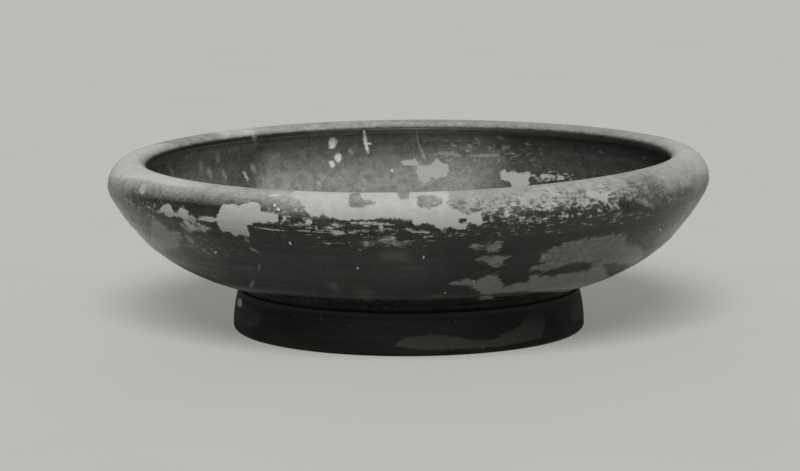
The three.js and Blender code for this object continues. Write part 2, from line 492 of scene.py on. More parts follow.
# How much of the film on the right of the rim is left between the pocks: run and share
RUBBED = ((2, 0.84), (4, 0.7), (6, 0.61), (7, 0.56), (8, 0.45), (9, 0.32), (10, 0.16), (12.5, 0))

# Smudges of dust and thin glaze, as soft patches: angle, run, half of the spread in both, and share
SMUDGES = (
    (-7.5, 14.3, 1.4, 0.7, 0.16), (-2.5, 18.2, 2.4, 1.6, 0.09), (-16.5, 31, 1.1, 2.6, 0.1),
    (-10.5, 34.5, 2.2, 3.6, 0.09), (0.5, 22, 4.5, 5, 0.025), (7, 35.5, 1.8, 0.9, 0.08),
    (37.8, 22.2, 2.2, 2.2, 0.07), (-46, 17.5, 1.2, 3.2, 0.18), (-44.5, 19, 4.5, 6.5, 0.05),
    (-61, 20, 8, 8, 0.04), (-54.8, 14.3, 2.8, 1.6, 0.13), (-56.5, 18, 8, 3, 0.16),
    (-29, 43.5, 4.5, 2.6, 0.05), (213, -11.2, 2.2, 1.4, 0.12),
)

# Film broken into dashes, as soft patches
DASHES = (
    (-8, 10.2, 18, 1.7, 0.24), (28, 11.8, 24, 2.4, 0.18), (47, 11.6, 9, 2, 0.16),
    (-6, 14, 14, 2.2, 0.16), (138, 9.4, 24, 2, 0.22), (224, 11, 30, 2.8, 0.18),
    (163, -11.4, 17, 4, 0.29),
)

# Film broken into bits, as soft patches
BITS = (
    (-60, 10.5, 12, 3, 0.32), (-22, 8.4, 6, 2.6, 0.36), (144.5, -16.6, 6.5, 1.5, 0.44),
    (60, 9.5, 16, 3.2, 0.24), (-44, 18, 10, 5, 0.16),
)

# Gaps in the film on the rim, as soft patches
FILM_GAPS = (
    (58, 9.2, 7, 0.9, 0.6), (51, 5.2, 3.6, 2.4, 0.35), (64.5, 9.6, 3.2, 1.4, 0.5),
    (132, -4.7, 34, 1.2, 0.8),
)

# A gap and a ridge in the rubbed film on the right, as soft patches
RUBBED_BANDS = ((28, 8.4, 9, 0.7, -0.22), (27, 9.7, 10, 0.6, 0.16))

# Where the film is rubbed and where the glaze is blackest: angle, run and half of the spread in both
RUBBED_PLACE = (27, 8, 20, 8)
DEEP_PLACE = (19, 21, 14, 12)

# The share of bits in the grey flake, and of the film that the remnants in the bare band lose
GREY_BITS = 0.78
REMNANT_LOSS = 0.35

# The runs between which the wall passes over the foot
FOOT_RUN = (47, 52)

# What counts as far outside of an outline, in millimetres
FAR_OUTSIDE = -8.0


def moved(outline, turn, drop):
    """An outline of the same shape, further round and further down."""
    return tuple((angle + turn, run + drop) for angle, run in outline)


def in_outline(angle, run, outline, radius):
    """Millimetres inside an outline, negative outside, at each vertex."""
    middle = sum(corner[0] for corner in outline) / len(outline)
    scale = math.radians(1.0) * radius
    across = angle_between(angle, middle) * scale
    corners = [(angle_between(corner[0], middle) * scale, corner[1]) for corner in outline]
    gap = np.full(angle.shape, np.inf)
    inside = np.zeros(angle.shape, dtype=bool)
    for (x, y), (next_x, next_y) in zip(corners, corners[1:] + corners[:1]):
        edge_x = next_x - x
        edge_y = next_y - y
        share = ((across - x) * edge_x + (run - y) * edge_y) / (edge_x ** 2 + edge_y ** 2)
        share = np.clip(share, 0.0, 1.0)
        gap = np.minimum(gap, np.hypot(across - x - share * edge_x, run - y - share * edge_y))
        if edge_y != 0.0:
            crossing = x + (run - y) / edge_y * edge_x
            inside ^= ((y > run) != (next_y > run)) & (across < crossing)
    return np.where(inside, gap, -gap)


def in_outlines(angle, run, outlines, radius=RIM_RADIUS):
    """Millimetres inside the nearest of some outlines, negative outside, at each vertex."""
    inside = np.full(angle.shape, FAR_OUTSIDE)
    for outline in outlines:
        inside = np.maximum(inside, in_outline(angle, run, outline, radius))
    return inside


def soft_patch(angle, run, centre, middle, half_angle, half_run, power=4):
    """A soft-edged share from 0 to 1 round one place, at each vertex."""
    across = angle_between(angle, centre) / half_angle
    along = (run - middle) / half_run
    return np.exp(-(across ** power + along ** power))


def soft_patches(angle, run, patches, power=4):
    """The sum of a table's soft patches, at each vertex."""
    return sum(share * soft_patch(angle, run, *place, power) for *place, share in patches)


def along_table(values, table):
    """A table's values, joined by straight lines, at each vertex."""
    return np.interp(values, [row[0] for row in table], [row[1] for row in table])


def add_field(piece, name, values):
    field = piece.data.attributes.new(name, "FLOAT", "POINT")
    field.data.foreach_set("value", np.asarray(values, dtype=np.float32))


def rim_film_and_highlight(angle, run):
    """The share of pale worn film over the rim, partly a painted highlight, from the lip's edge to its
    limit outside.
    """
    angles, *columns = zip(*RIM_FILM_AND_HIGHLIGHT)
    fading, limit, share = (np.interp(angle, angles, column, period=360.0) for column in columns)
    outside = np.clip((limit - run) / (limit - fading), 0.0, 1.0)
    return share * outside * along_table(run, LIP_FILM_AND_HIGHLIGHT)


def haze_and_light_share(angle, run):
    """The share of pale haze and painted light: inside, most of it across from the front, where it is
    partly a painted reflection, with a painted sheen on the left and painted light under the lip on the
    left, and a little low on the wall.
    """
    turn = angle_between(angle, HAZE_AND_LIGHT_MIDDLE)
    left_edge = 23.0 + 0.6 * np.clip(-10.0 - run, 0.0, 10.0)
    across = smooth_step(turn - left_edge, 3.0, -2.0) * smooth_step(turn, -38.0, -22.0)
    on_left = smooth_step(turn, 165.0, 85.0)
    under_lip = smooth_step(turn, 18.0, 36.0) * smooth_step(run, -10.0, -7.0)
    # Across from the front the film is partly a painted reflection
    haze_and_painted_light = LEAST_HAZE + across * along_table(run, INSIDE_FILM_AND_REFLECTION)
    # Paler to the left and far left, partly a painted sheen
    haze_and_painted_light += LEFT_HAZE_AND_SHEEN * smooth_step(turn, 0.0, 30.0) * on_left
    haze_and_painted_light += FAR_LEFT_HAZE_AND_SHEEN * smooth_step(turn, 30.0, 50.0) * on_left
    # Painted light in the shade under the lip, on the left
    haze_and_painted_light += UNDER_LIP_PAINTED_LIGHT * under_lip * on_left
    haze_and_painted_light += (FLOOR_HAZE - haze_and_painted_light) * smooth_step(run, -18.0, -32.0)
    haze_and_painted_light *= smooth_step(run, -4.9, -5.6)
    return haze_and_painted_light + LOW_WALL_DUST * smooth_step(run, 39.0, 43.0)


def add_share(piece, name, values):
    add_field(piece, name, np.clip(values, 0.0, 1.0))


def add_lost_glaze(piece, angle, run):
    """Fields of what has flaked off or is thin, and of the film that is left, which is partly a painted
    highlight on the rim.
    """
    remnants = in_outlines(angle, run, REMNANTS)
    flakes = (*FLAKES, *(moved(*again) for again in MOVED_FLAKES))
    add_field(piece, "flake", np.minimum(in_outlines(angle, run, flakes), -remnants))
    on_back = (moved(patch, *BACK_MOVE) for patch in THIN_PATCHES[:BACK_PATCHES])
    add_field(piece, "thin", in_outlines(angle, run, (*THIN_PATCHES, *on_back)))
    film_and_highlight = rim_film_and_highlight(angle, run) * (1.0 - REMNANT_LOSS * smooth_step(remnants, -0.3, 0.3))
    for *place, share in FILM_GAPS:
        film_and_highlight *= 1.0 - share * soft_patch(angle, run, *place)
    add_share(piece, "film_and_highlight", film_and_highlight)


def add_broken_film(piece, angle, run):
    """Fields of the film that is broken into dashes, bits and crumbs."""
    add_share(piece, "dashes", soft_patches(angle, run, DASHES))
    grey = GREY_BITS * smooth_step(in_outlines(angle, run, (GREY_FLAKE,)), -0.4, 0.5)
    add_share(piece, "bits", np.maximum(soft_patches(angle, run, BITS), grey))
    add_field(piece, "crumbs", along_table(run, RUBBED) + soft_patches(angle, run, RUBBED_BANDS))
    add_field(piece, "rubbed", soft_patch(angle, run, *RUBBED_PLACE) * (run > 0.0))


def add_sheen(piece, angle, run):
    """Fields of polished, matte and blackest glaze."""
    polish = smooth_step(np.abs(angle), 36.0, 66.0) * smooth_step(run, -1.0, 5.0)
    add_field(piece, "polish", polish * (1.0 - smooth_step(run, *FOOT_RUN)))
    matte = smooth_step(run, 28.0, 36.0) * smooth_step(angle, 66.0, 58.0)
    matte -= 0.14 * smooth_step(angle, -62.0, -76.0) * smooth_step(run, 32.0, 26.0)
    add_field(piece, "matte", matte)
    add_field(piece, "deep", soft_patch(angle, run, *DEEP_PLACE))


def add_bowl_wear(piece):
    angle, run, _ = vertex_places(piece)
    add_lost_glaze(piece, angle, run)
    add_broken_film(piece, angle, run)
    add_sheen(piece, angle, run)
    add_share(piece, "haze_and_painted_light", haze_and_light_share(angle, run) + soft_patches(angle, run, SMUDGES, power=2))


def add_foot_wear(piece):
    angle, _, places = vertex_places(piece)
    height = places[:, 2]
    outside = np.hypot(places[:, 0], places[:, 1]) > FOOT_TOP_RADIUS - FACE_DEPTH
    thin = in_outlines(angle, height, FOOT_PATCHES, FOOT_RADIUS)
    add_field(piece, "thin", np.where(outside, thin, FAR_OUTSIDE))
    chip = in_outline(angle, height, FOOT_CHIP, FOOT_RADIUS)
    add_field(piece, "flake", np.maximum(BARE_REST - height, chip))


class NodeBench:
    """Short ways to add and join shader nodes in one tree."""

    def __init__(self, tree):
        self.tree = tree

    def put(self, socket, value):
        if isinstance(value, bpy.types.NodeSocket):
            self.tree.links.new(value, socket)
        else:
            socket.default_value = value

    def node(self, kind, *values, **settings):
        """The outputs of a new node, with values for its inputs in their order."""
        node = self.tree.nodes.new(kind)
        for name, setting in settings.items():
            setattr(node, name, setting)
        for socket, value in zip(node.inputs, values):
            if value is not None:
                self.put(socket, value)
        return node.outputs

    def math(self, operation, *values, clamp=False):
        return self.node("ShaderNodeMath", *values, operation=operation, use_clamp=clamp)[0]

    def ramp(self, value, low, high, to_low=0.0, to_high=1.0, kind="LINEAR"):
        values = (value, low, high, to_low, to_high)
        return self.node("ShaderNodeMapRange", *values, interpolation_type=kind)[0]

    def step(self, value, low, high, to_low=0.0, to_high=1.0):
        return self.ramp(value, low, high, to_low, to_high, "SMOOTHSTEP")

    def scaled(self, value, by, *reach):
        """A value times the ramp of another."""
        return self.math("MULTIPLY", value, self.ramp(by, *reach))

    def swung(self, noise, strength, value):
        """A value that a noise swings up and down."""
        return self.math("MULTIPLY_ADD", self.math("SUBTRACT", noise, 0.5), strength, value)

    def mix(self, share, first, second):
        """A colour between two."""
        unused = [None] * 5
        return self.node("ShaderNodeMix", share, *unused, first, second, data_type="RGBA")[2]

    def blend(self, share, first, second):
        """A number between two."""
        return self.node("ShaderNodeMix", share, None, first, second)[0]

    def noise(self, place, scale, detail=2.0, roughness=0.5):
        return self.node("ShaderNodeTexNoise", place, None, scale, detail, roughness)["Fac"]

    def field(self, name, output="Fac"):
        return self.node("ShaderNodeAttribute", attribute_name=name)[output]

    def millimetres(self):
        """Object coordinates in millimetres."""
        place = self.node("ShaderNodeTexCoord")["Object"]
        values = (place, None, None, 1.0 / MM)
        return self.node("ShaderNodeVectorMath", *values, operation="SCALE")["Vector"]

    def length(self, *values):
        vector = self.combine(*values)
        return self.node("ShaderNodeVectorMath", vector, operation="LENGTH")["Value"]

    def combine(self, *values):
        return self.node("ShaderNodeCombineXYZ", *values)[0]

    def split(self, vector):
        return self.node("ShaderNodeSeparateXYZ", vector)

    def group(self, group, **inputs):
        node = self.tree.nodes.new("ShaderNodeGroup")
        node.node_tree = group
        for name, value in inputs.items():
            self.put(node.inputs[name.capitalize()], value)
        return node.outputs[0]


def new_group(name, output, inputs):
    """A shader node group with one output, and a bench to build it on."""
    group = bpy.data.node_groups.new(name, "ShaderNodeTree")
    for socket, default in inputs.items():
        made = group.interface.new_socket(name=socket, in_out="INPUT", socket_type="NodeSocketFloat")
        made.default_value = default
    group.interface.new_socket(name=output, in_out="OUTPUT", socket_type="NodeSocketFloat")
    start = group.nodes.new("NodeGroupInput").outputs
    end = group.nodes.new("NodeGroupOutput").inputs[0]
    return group, NodeBench(group), start, end


def streak_group():
    """Noise drawn out round the wheel, by its fineness round the bowl and across the wheel lines."""
    group, bench, start, end = new_group("wheel_streaks", "Streak", {"Round": 0.07, "Across": 0.9})
    x, y, _ = bench.split(bench.millimetres())
    place = bench.combine(
        bench.math("MULTIPLY", x, start["Round"]),
        bench.math("MULTIPLY", y, start["Round"]),
        bench.math("MULTIPLY", bench.field("run"), start["Across"]),
    )
    bench.put(end, bench.noise(place, 1.0, 3.0, 0.55))
    return group


def ragged_group():
    """A mask with a broken edge, from the distance inside that edge in millimetres and a noise."""
    group, bench, start, end = new_group(
        "ragged_edge", "Mask", {"Inside": 0.0, "Noise": 0.5, "Raggedness": 3.0, "Softness": 0.1},
    )
    inside = bench.swung(start["Noise"], start["Raggedness"], start["Inside"])
    low = bench.math("MULTIPLY", start["Softness"], -1.0)
    bench.put(end, bench.step(inside, low, start["Softness"]))
    return group


def broken_group():
    """A mask that breaks up a soft share into crumbs, by a noise and its strength."""
    group, bench, start, end = new_group(
        "broken_cover", "Mask", {"Share": 0.0, "Noise": 0.5, "Strength": 1.0},
    )
    share = bench.swung(start["Noise"], start["Strength"], start["Share"])
    bench.put(end, bench.scaled(bench.step(share, 0.28, 0.72), start["Share"], 0.02, 0.16))
    return group


# Spots and scratches through the glaze: angle and run of both ends, then half the width
MARKS = (
    # Round chips and a star-shaped one on the wall inside
    (197.9, -7.3, 197.6, -9.3, 1.15), (196.6, -12, 196, -12.8, 1), (197.9, -13.5, 197.8, -14.3, 0.85),
    (190.6, -5, 189.3, -11.4, 0.56), (190.3, -8.9, 188.7, -9.1, 0.34),
    # A spot lower down inside
    (183.9, -15.9, 183.7, -16.4, 0.3),
    # Spots on the rim
    (-26.3, 3.3, -24.7, 2.9, 0.38), (-24.6, 5.6, -24.3, 6, 0.3), (-23.8, 6.5, -23.4, 6.9, 0.26),
    # Chips in the glaze outside
    (-22.1, 14.8, -22, 15.4, 0.24), (-41.3, 20.6, -40.6, 20.2, 0.32), (2.8, 18.3, 2.8, 19.3, 0.16),
    (-10, 22.1, -10, 22.8, 0.17), (13.8, 28, 13.9, 28.8, 0.18), (8.3, 33.3, 8.5, 34.2, 0.18),
    (58, 17.8, 60, 18.8, 0.16),
)

# Slivers of bare clay under the band: angle and run of both ends, then half the width
SLIVERS = (
    (-10.1, 9.1, -3.1, 9.4, 0.3), (-4.8, 9.4, -4.7, 11.1, 0.42), (-20.4, 9.95, -17.6, 9.8, 0.26),
    (-13.4, 9.6, -12.4, 9.75, 0.36), (-10.4, 11.4, -8.6, 11, 0.28), (-0.4, 10.5, 1, 11.4, 0.28),
    (1, 11.2, 3.6, 11.5, 0.3), (-8, 10.9, -7, 11, 0.24), (-20, 11.4, -17.6, 11.4, 0.2),
    (-28.8, 11.2, -22, 11.6, 0.16), (-16.4, 10, -16.3, 11.4, 0.22), (-17, 11.5, -13.8, 11.7, 0.14),
)

# Faint drips and scuffs on the glaze: angle and run of both ends, then half the width
SCUFFS = (
    # Inside, on the left
    (247.8, -8, 245, -11.6, 0.9), (229.4, -7.6, 228, -10.6, 1), (234.3, -10, 233.6, -11.8, 0.9),
    (231.2, -12.4, 231, -14, 0.9), (226.8, -13.4, 226.4, -15, 0.7), (218.2, -12.6, 217.8, -14.2, 0.8),
    (240.5, -7.4, 239.6, -8.4, 0.6), (225.6, -7.6, 225, -8.4, 0.5), (219.2, -2.6, 218.9, -4.8, 0.9),
    (218.8, -5.2, 217.8, -7.2, 0.45),
    # Inside, across from the front and on the right
    (178, -5.2, 177.7, -9.6, 0.28), (177.7, -9, 176, -13.6, 0.45), (193.6, -10.6, 193, -11.4, 0.6),
    (173, -11.7, 168.4, -12, 0.5), (166.4, -12.3, 158.8, -11.7, 0.45), (157.9, -9.8, 156.5, -9.8, 0.5),
    (170, -9.4, 169, -10, 0.5), (166.4, -9.5, 165.4, -10, 0.5),
    (164.2, -7.4, 163.4, -8.8, 0.5), (158.8, -6.6, 157.6, -7.2, 0.7), (202.2, -19, 201.8, -19.8, 0.6),
    (190.8, -18.8, 190.6, -20, 0.6), (131.6, -9, 130.6, -9.2, 0.4), (115.4, -8.8, 114.4, -8.6, 0.4),
    # Outside
    (-31, 22.9, -32.4, 25.6, 0.3), (-37, 31, -42, 36, 0.5), (-55, 30, -50, 33, 0.35),
    (26.8, 20.3, 27.2, 21.3, 0.3), (38.4, 22.2, 39.4, 23.8, 0.3), (46, 8.2, 51, 10.8, 0.6),
    (-31.2, 14.6, -30.8, 15.6, 0.4), (-31, 17.6, -30, 18.4, 0.6),
)

# How far from a mark the vertices keep it, and how far off the others count as
MARK_REACH = 1.9
NO_MARK = -60.0


def mark_layers(marks):
    """The marks shared out so that those of one layer lie apart from each other."""
    layers = []
    for mark in marks:
        angle, run, end_angle, end_run, _ = mark
        length = math.hypot(math.radians(end_angle - angle) * RIM_RADIUS, end_run - run)
        place = ((angle + end_angle) / 2, (run + end_run) / 2, length / 2 + 2 * MARK_REACH)
        for layer in layers:
            if all(apart(place, other) for other, _ in layer):
                layer.append((place, mark))
                break
        else:
            layers.append([(place, mark)])
    return [[mark for _, mark in layer] for layer in layers]


def apart(place, other):
    across = math.radians(angle_between(place[0], other[0])) * RIM_RADIUS
    return math.hypot(across, place[1] - other[1]) > place[2] + other[2]


def add_marks(piece, kind, marks):
    """Keeps each mark's own coordinates, in half widths, on the vertices near it; returns their fields."""
    angle, run, _ = vertex_places(piece)
    fields = []
    for number, layer in enumerate(mark_layers(marks)):
        seen = np.zeros((len(run), 3))
        seen[:, 2] = NO_MARK
        for start_angle, start_run, end_angle, end_run, half_width in layer:
            middle = (start_angle + end_angle) / 2
            stroke_x = math.radians(end_angle - start_angle) * RIM_RADIUS
            stroke_y = end_run - start_run
            length = math.hypot(stroke_x, stroke_y)
            off_x = np.radians(angle_between(angle, middle)) * RIM_RADIUS
            off_y = run - (start_run + end_run) / 2
            along = (off_x * stroke_x + off_y * stroke_y) / length
            aside = (off_y * stroke_x - off_x * stroke_y) / length
            near = np.hypot(aside, np.maximum(np.abs(along) - length / 2, 0.0)) < MARK_REACH
            own = np.stack((aside, along, np.full(along.shape, length / 2)), axis=1) / half_width
            seen[near] = own[near]
        name = f"{kind}_{number}"
        field = piece.data.attributes.new(name, "FLOAT_VECTOR", "POINT")
        field.data.foreach_set("vector", seen.astype(np.float32).ravel())
        fields.append(name)
    return fields


def new_material(name, shine):
    material = bpy.data.materials.new(name)
    material.use_nodes = True
    shader = material.node_tree.nodes["Principled BSDF"]
    shader.inputs["Specular IOR Level"].default_value = shine
    return material, NodeBench(material.node_tree), shader


# Colours, as linear light
BLACK_GLAZE = (0.004, 0.004, 0.0034, 1.0)
DULL_GLAZE = (0.024, 0.0236, 0.021, 1.0)
GREY_GLAZE = (0.15, 0.1485, 0.139, 1.0)
FOOT_GREY = (0.025, 0.0247, 0.0222, 1.0)
# Pale film and haze: where they lie on the rim and inside the bowl, partly a painted highlight, sheen and
# reflection
PALE_FILM_AND_LIGHT = (0.38, 0.378, 0.355, 1.0)
PALE_CLAY = (0.50, 0.498, 0.467, 1.0)
DULL_CLAY = (0.29, 0.288, 0.269, 1.0)
# Whiter than the clay, for marks just under the lip: partly painted light in the lip's shade
WHITE_SPOT_PAINTED_LIGHT = (0.70, 0.698, 0.655, 1.0)

# Specular levels, and the roughness of worn glaze and of bare clay
BOWL_SHINE = 0.3
FOOT_SHINE = 0.13
SLIP_SHINE = 0.2
WORN_ROUGHNESS = 0.75
BARE_ROUGHNESS = 0.9

# The values between which most of a noise lies
NOISE_REACH = (0.3, 0.7)

# Noises of the bowl's glaze: scale in a millimetre, detail and roughness
BOWL_NOISES = {
    "blotch": (0.09, 4, 0.6), "drift": (0.22, 3, 0.55), "mottle": (0.5, 4, 0.62), "dots": (1.1, 4, 0.68),
    "specks": (2, 3, 0.6), "grain": (4, 2, 0.5),
}

# Streaks of the bowl's glaze: fineness round the bowl and across the wheel lines
BOWL_STREAKS = {
    "broad_streak": (0.05, 0.6), "fine_streak": (0.1, 2.4), "dashes": (0.45, 1.7), "radial": (0.6, 0.12),
}


def finish_surface(bench, shader, colour, roughness, height):
    """Joins the colour, roughness and height in millimetres of a surface to its shader."""
    bench.put(shader.inputs["Base Color"], colour)
    bench.put(shader.inputs["Roughness"], roughness)
    bump = bench.tree.nodes.new("ShaderNodeBump")
    bump.inputs["Strength"].default_value = 1.0
    bump.inputs["Distance"].default_value = MM
    bench.put(bump.inputs["Height"], height)
    bench.put(shader.inputs["Normal"], bump.outputs[0])


def marked_mask(bench, fields, noise, roughness, core, edge):
    """One mask of all the marks of a kind, drawn out to their ends, with rough edges."""
    marked = 0.0
    swing = bench.swung(noise, roughness, 0.0)
    for name in fields:
        aside, along, half_length = bench.split(bench.field(name, "Vector"))
        beyond = bench.math("SUBTRACT", bench.math("ABSOLUTE", along), half_length)
        gap = bench.length(aside, bench.math("MAXIMUM", beyond, 0.0), 0.0)
        reach = bench.math("DIVIDE", along, bench.math("ADD", half_length, 1.0))
        gap = bench.math("MULTIPLY_ADD", bench.math("MULTIPLY", reach, reach), 0.6, gap)
        rough_gap = bench.math("ADD", swing, gap)
        marked = bench.math("MAXIMUM", marked, bench.step(rough_gap, core, edge, 1.0, 0.0))
    return marked


def bowl_noises(bench, streaks):
    """The noises and streaks of the bowl's glaze by name, and mixtures of them."""
    place = bench.millimetres()
    noises = SimpleNamespace()
    for name, setting in BOWL_NOISES.items():
        setattr(noises, name, bench.noise(place, *setting))
    for name, (along, across) in BOWL_STREAKS.items():
        setattr(noises, name, bench.group(streaks, round=along, across=across))
    noises.cloud = bench.blend(0.4, noises.mottle, noises.dots)
    noises.crumble = bench.blend(0.45, noises.dots, noises.dashes)
    noises.edge = bench.blend(0.35, noises.crumble, noises.mottle)
    return noises


def flaked_share(bench, ragged, noises, sliver_fields):
    """How much has flaked off, splintered off or pitted."""
    inside = bench.field("flake")
    flaked = bench.group(ragged, inside=inside, noise=noises.edge, raggedness=3.2, softness=0.25)
    splintered = marked_mask(bench, sliver_fields, noises.crumble, 7.0, 0.4, 1.3)
    splintered = bench.scaled(splintered, noises.mottle, 0.35, 0.6, 0.4, 1.0)
    pitted = bench.step(noises.dots, 0.75, 0.79)
    return bench.math("MAXIMUM", bench.math("MAXIMUM", flaked, splintered), pitted)


def thin_share(bench, ragged, noises):
    """How much the thin glaze shows grey, with some painted sheen on the polished sides."""
    edge = bench.blend(0.5, noises.mottle, noises.dashes)
    thin = bench.group(ragged, inside=bench.field("thin"), noise=edge, raggedness=5.0, softness=0.55)
    patchy = bench.ramp(bench.blend(0.3, noises.cloud, noises.dashes), 0.40, 0.60, 0.40, 1.02)
    patchy = bench.math("MULTIPLY", patchy, bench.step(noises.dots, 0.34, 0.44, 0.4, 1.0))
    # The grey is stronger low on the wall, and stronger on the polished sides, where it is partly a
    # painted sheen
    patchy = bench.scaled(patchy, bench.field("run"), 26.0, 30.0, 1.0, 1.75)
    patchy = bench.scaled(patchy, bench.field("polish"), 0.2, 0.8, 1.0, 1.5)
    return bench.math("MULTIPLY", thin, patchy)


def dust_and_light_share(bench, noises, scuff_fields):
    """How much haze, scuffs and dust cover the glaze, with the painted light that the haze holds inside
    the bowl.
    """
    haze_and_painted_light = bench.scaled(bench.field("haze_and_painted_light"), noises.cloud, *NOISE_REACH, 0.45, 1.55)
    scuffed = marked_mask(bench, scuff_fields, noises.specks, 3.4, 0.1, 1.5)
    haze_and_painted_light = bench.math("MULTIPLY_ADD", scuffed, 0.28, haze_and_painted_light)
    dust = bench.scaled(bench.step(noises.specks, 0.60, 0.74), noises.mottle, 0.4, 0.65, 0.01, 0.12)
    return bench.math("ADD", haze_and_painted_light, dust, clamp=True)


def rim_share(bench, broken, noises):
    """How much pale film covers the rim, whole at the crest and broken where it fades or is rubbed; the
    film is partly a painted highlight on the top of the rim and a painted sheen at its ends.
    """
    run = bench.field("run")
    film_and_highlight = bench.field("film_and_highlight")
    fading = bench.math("MULTIPLY", film_and_highlight, bench.math("SUBTRACT", 1.0, film_and_highlight))
    swing = bench.swung(noises.crumble, 5.0, 0.0)
    worn_and_highlight = bench.math("MULTIPLY_ADD", swing, fading, film_and_highlight, clamp=True)
    crumbs = bench.group(broken, share=bench.field("crumbs"), noise=noises.edge, strength=4.4)
    ground = bench.ramp(run, 1.0, 8.5, 0.54, 0.03)
    crumbs = bench.blend(crumbs, ground, bench.ramp(run, 1.0, 6.0, 0.83, 0.69))
    worn_and_highlight = bench.blend(bench.field("rubbed"), worn_and_highlight, crumbs)
    worn_and_highlight = bench.scaled(worn_and_highlight, noises.cloud, *NOISE_REACH, 0.84, 1.18)
    worn_and_highlight = bench.scaled(worn_and_highlight, noises.radial, *NOISE_REACH, 0.90, 1.09)
    worn_and_highlight = bench.scaled(worn_and_highlight, noises.drift, *NOISE_REACH, 0.86, 1.18)
    return bench.math("MINIMUM", worn_and_highlight, 1.0)


def worn_and_highlight_share(bench, broken, noises):
    """How much pale film covers the glaze: on the rim, where it is partly a painted highlight, in dashes
    and in bits, with dark dots in it.
    """
    dash_edge = bench.blend(0.3, noises.dashes, noises.dots)
    dashed = bench.group(broken, share=bench.field("dashes"), noise=dash_edge, strength=3.2)
    dashed = bench.scaled(dashed, noises.mottle, 0.35, 0.65, 0.25, 0.9)
    dashed = bench.scaled(dashed, bench.field("run"), -5.0, 0.0, 0.45, 1.0)
    bits = bench.group(broken, share=bench.field("bits"), noise=noises.crumble, strength=3.6)
    bits = bench.scaled(bits, noises.mottle, 0.35, 0.65, 0.35, 0.85)
    worn_and_highlight = bench.math("MAXIMUM", bench.math("MAXIMUM", rim_share(bench, broken, noises), dashed), bits)
    return bench.math("MULTIPLY", worn_and_highlight, bench.step(noises.dots, 0.25, 0.32, 0.5, 1.0))


def bowl_colour(bench, noises, thin, dust_and_painted_light, worn_and_highlight, flaked, marked):
    """The colour of the glaze with each kind of wear, and the painted light among them, laid over it."""
    run = bench.field("run")
    tone = bench.blend(0.4, noises.broad_streak, noises.fine_streak)
    tone = bench.blend(0.4, tone, bench.blend(0.5, noises.mottle, noises.drift))
    dullness = bench.ramp(bench.blend(0.25, tone, noises.specks), 0.40, 0.60)
    dullness = bench.scaled(dullness, bench.field("deep"), 0.0, 1.0, 1.0, 0.2)
    # The bare clay is darker away from the crest, outside and inside
    clay_darkening = bench.ramp(bench.math("MULTIPLY_ADD", noises.mottle, 6.0, run), 3.0, 11.0)
    clay_darkening = bench.math("MAXIMUM", clay_darkening, bench.ramp(run, -4.0, -7.0))
    # Marks just under the lip take the whiter colour, partly painted light in the lip's shade
    spot = bench.mix(bench.step(run, -6.0, -4.0), WHITE_SPOT_PAINTED_LIGHT, PALE_CLAY)
    layers = (
        (thin, GREY_GLAZE),
        (dust_and_painted_light, PALE_FILM_AND_LIGHT),
        # The film's colour, as pale as the clay where it is fullest, is partly a painted highlight on the
        # rim
        (worn_and_highlight, bench.mix(bench.ramp(bench.field("film_and_highlight"), 0.86, 1.0), PALE_FILM_AND_LIGHT, PALE_CLAY)),
        (flaked, bench.mix(clay_darkening, PALE_CLAY, DULL_CLAY)),
        (marked, bench.mix(bench.step(run, -11.0, -9.5), PALE_CLAY, spot)),
    )
    colour = bench.mix(dullness, BLACK_GLAZE, DULL_GLAZE)
    for share, layer in layers:
        colour = bench.mix(share, colour, layer)
    return colour


def bowl_roughness(bench, noises, dust_and_painted_light, worn_and_highlight, bare):
    """The roughness of the glaze, polished at the sides, and of what lies on it."""
    dulled = bench.ramp(noises.blotch, *NOISE_REACH, 0.44, 0.56)
    for start, end, change in ((20.0, 32.0, 0.3), (35.0, 38.5, -0.65), (*FOOT_RUN, 0.4)):
        dulled = bench.math("ADD", dulled, bench.ramp(bench.field("run"), start, end, 0.0, change))
    polished = bench.ramp(noises.blotch, *NOISE_REACH, 0.20, 0.30)
    polished = bench.math("MULTIPLY_ADD", bench.field("matte"), 0.5, polished)
    roughness = bench.blend(bench.field("polish"), dulled, polished)
    roughness = bench.math("ADD", roughness, bench.ramp(noises.cloud, *NOISE_REACH, -0.10, 0.10))
    roughness = bench.blend(bench.ramp(dust_and_painted_light, 0.08, 0.35), roughness, WORN_ROUGHNESS)
    roughness = bench.blend(worn_and_highlight, roughness, WORN_ROUGHNESS)
    return bench.blend(bare, roughness, BARE_ROUGHNESS)


def relief(bench, *layers):
    """The height of a surface in millimetres, from noises and the height of each."""
    height = 0.0
    for noise, size in layers:
        height = bench.math("MULTIPLY_ADD", noise, size, height)
    return height


def make_bowl_glaze(streaks, ragged, broken, mark_fields):
    material, bench, shader = new_material("worn_black_glaze_and_painted_light", BOWL_SHINE)
    noises = bowl_noises(bench, streaks)
    flaked = flaked_share(bench, ragged, noises, mark_fields["slivers"])
    marked = marked_mask(bench, mark_fields["marks"], noises.dots, 2.4, 0.3, 1.4)
    thin = thin_share(bench, ragged, noises)
    dust_and_painted_light = dust_and_light_share(bench, noises, mark_fields["scuffs"])
    worn_and_highlight = worn_and_highlight_share(bench, broken, noises)
    bare = bench.math("MAXIMUM", flaked, marked)
    colour = bowl_colour(bench, noises, thin, dust_and_painted_light, worn_and_highlight, flaked, marked)
    roughness = bowl_roughness(bench, noises, dust_and_painted_light, worn_and_highlight, bare)
    height = relief(
        bench, (noises.fine_streak, 0.03), (noises.broad_streak, 0.04), (noises.grain, 0.012),
        (noises.cloud, 0.10), (noises.specks, 0.02), (bare, -0.05),
    )
    finish_surface(bench, shader, colour, roughness, height)
    return material


